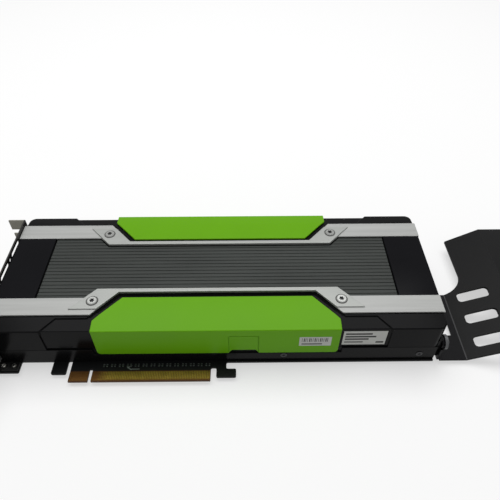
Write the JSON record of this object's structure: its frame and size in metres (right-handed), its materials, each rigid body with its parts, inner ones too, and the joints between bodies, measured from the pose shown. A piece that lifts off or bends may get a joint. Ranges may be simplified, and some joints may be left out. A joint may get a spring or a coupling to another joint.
{
  "type": "passive accelerator card",
  "caption": "Dual-slot passively cooled accelerator card with lined heatsink window, bright rails, side covers, vented I/O bracket and tail extender bracket.",
  "frame": {"origin": "middle of the key notch at the tips of the edge fingers, on the component side of the board", "axes": "+X along the card towards the power socket and extender bracket, +Y away from the edge fingers, +Z out of the component side"},
  "size_m": [0.3572, 0.1297, 0.04],
  "materials": {
    "solder_mask": "dark green solder mask on glass laminate",
    "gold_plating": "gold plated",
    "chip_ceramic": "tan chip bodies with tinned ends",
    "package_laminate": "green laminate",
    "silicon": "polished silicon",
    "chip_moulding": "black epoxy moulding",
    "pad_silicone": "soft grey silicone",
    "choke_body": "pressed iron powder",
    "sink_aluminium": "milled",
    "fin_black": "folded sheet, black anodised",
    "frame_black": "gloss black coated casting",
    "shroud_black": "gloss black moulding",
    "rail_silver": "satin silver",
    "trim_silver": "satin silver",
    "cover_green": "bright green moulding",
    "plate_black": "gloss black",
    "back_black": "matt black coated sheet",
    "screw_steel": "black oxide steel",
    "bracket_steel": "nickel plated sheet steel",
    "plated_screw": "nickel plated",
    "socket_plastic": "black moulding",
    "pin_tin": "tin plated",
    "extender_steel": "black coated sheet steel",
    "trim_screw": "polished steel",
    "label_paper": "blank printed paper"
  },
  "bodies": {
    "root": {"circuit_board": "solder_mask", "edge_contacts": "gold_plating", "coupling_capacitors": "chip_ceramic", "gpu_package": "package_laminate", "gpu_die": "silicon", "memory_chips": "chip_moulding", "thermal_pads": "pad_silicone", "chokes": "choke_body", "power_stages": "chip_moulding", "heatsink_base": "sink_aluminium", "fin_stack": "fin_black", "base_frame": "frame_black", "shroud": "shroud_black", "near_rail_io": "rail_silver", "near_rail_tail": "rail_silver", "far_rail_io": "rail_silver", "far_rail_tail": "rail_silver", "near_trim": "trim_silver", "far_trim": "trim_silver", "near_cover": "cover_green", "far_cover": "cover_green", "io_end_plate": "plate_black", "tail_end_plate": "plate_black", "backplate": "back_black", "backplate_screws": "screw_steel", "heatsink_screws": "screw_steel", "io_bracket": "bracket_steel", "bracket_screws": "plated_screw", "power_socket": "socket_plastic", "power_pins": "pin_tin", "extender_bracket": "extender_steel", "extender_screws": "screw_steel", "trim_screws": "trim_screw", "side_screws": "screw_steel", "side_label": "label_paper", "cover_label": "label_paper"}
  },
  "joints": []
}
